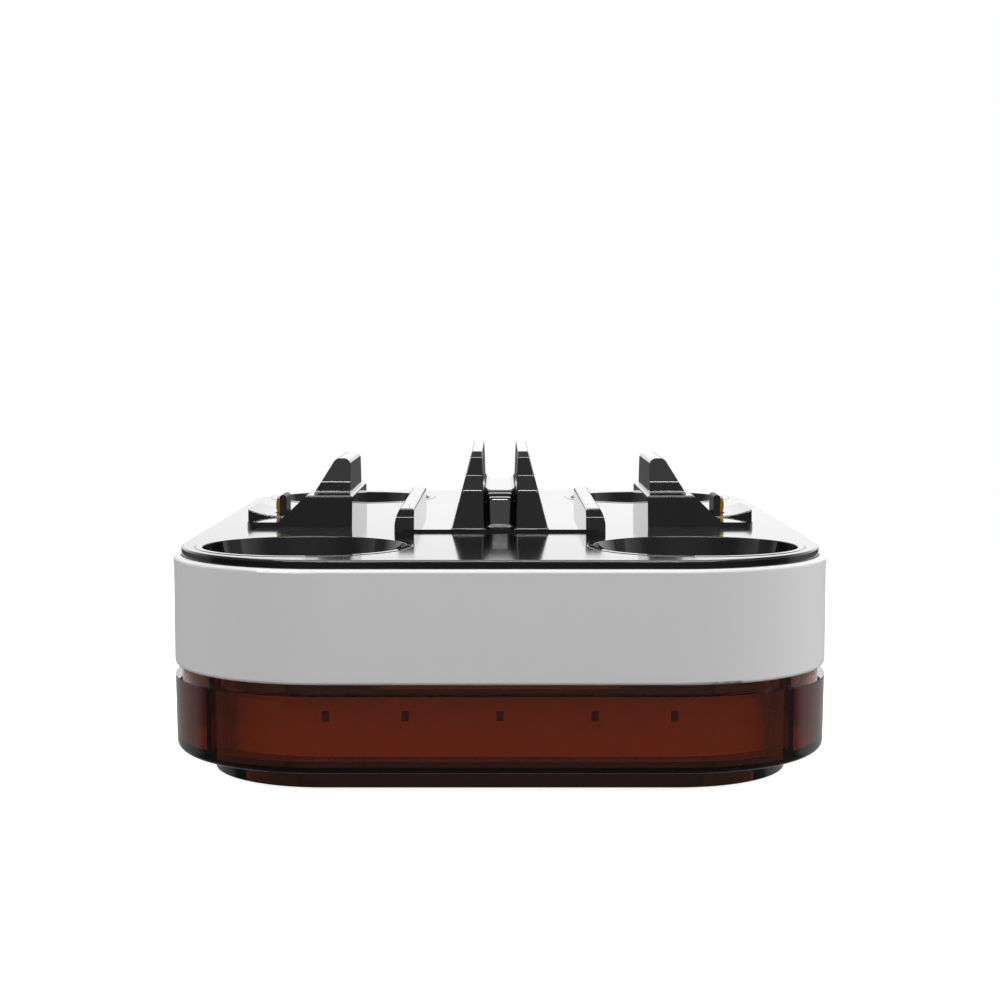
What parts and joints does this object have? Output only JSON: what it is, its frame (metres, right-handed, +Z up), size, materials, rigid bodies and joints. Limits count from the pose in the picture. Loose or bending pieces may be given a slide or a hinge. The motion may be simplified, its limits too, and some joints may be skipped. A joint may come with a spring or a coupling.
{
  "type": "handheld console charging stand",
  "caption": "Free-standing charging stand: clear amber light tray, white band and gloss black top with grip wells, controller docks with sprung contacts and a finned console slot.",
  "frame": {"origin": "on the table, under the middle of the stand's outline", "axes": "+Z up, +Y along the long side from front to back, +X to the right seen from the front"},
  "size_m": [0.14, 0.185, 0.0661],
  "materials": {
    "amber_clear": "clear tinted moulding, polished",
    "white_satin": "satin moulded",
    "gloss_black": "high gloss moulded",
    "contact_black": "satin moulded",
    "contact_gold": "gold plated",
    "pale_reflector": "matt moulded",
    "strip_white": "flexible printed strip",
    "led_package": "small moulded package",
    "inner_black": "matt moulded",
    "board_green": "laminate with lacquer",
    "chip_black": "moulded",
    "plug_white": "moulded",
    "socket_steel": "folded sheet",
    "lead_black": "soft sheath",
    "foot_rubber": "matt",
    "screw_steel": "plated"
  },
  "bodies": {
    "root": {"light_tray": "amber_clear", "mid_band": "white_satin", "top_plate": "gloss_black", "console_cradle": "gloss_black", "well_cup_front_left": "gloss_black", "well_cup_front_right": "gloss_black", "well_cup_rear_left": "gloss_black", "well_cup_rear_right": "gloss_black", "left_dock": "gloss_black", "right_dock": "gloss_black", "left_contact_block": "contact_black", "right_contact_block": "contact_black", "left_contact_blades": "contact_gold", "right_contact_blades": "contact_gold", "reflector_ring": "pale_reflector", "led_strip": "strip_white", "led_chips": "led_package", "lower_deck": "inner_black", "main_board": "board_green", "left_contact_board": "board_green", "right_contact_board": "board_green", "board_parts": "chip_black", "socket_tongue": "chip_black", "lead_plugs": "plug_white", "power_socket": "socket_steel", "led_lead": "lead_black", "left_contact_lead": "lead_black", "right_contact_lead": "lead_black", "foot_front_left": "foot_rubber", "foot_front_right": "foot_rubber", "foot_rear_left": "foot_rubber", "foot_rear_right": "foot_rubber", "tray_screws": "screw_steel", "deck_screws": "screw_steel", "cradle_screws": "screw_steel", "dock_screws": "screw_steel", "contact_screws": "screw_steel", "board_screws": "screw_steel"}
  },
  "joints": []
}
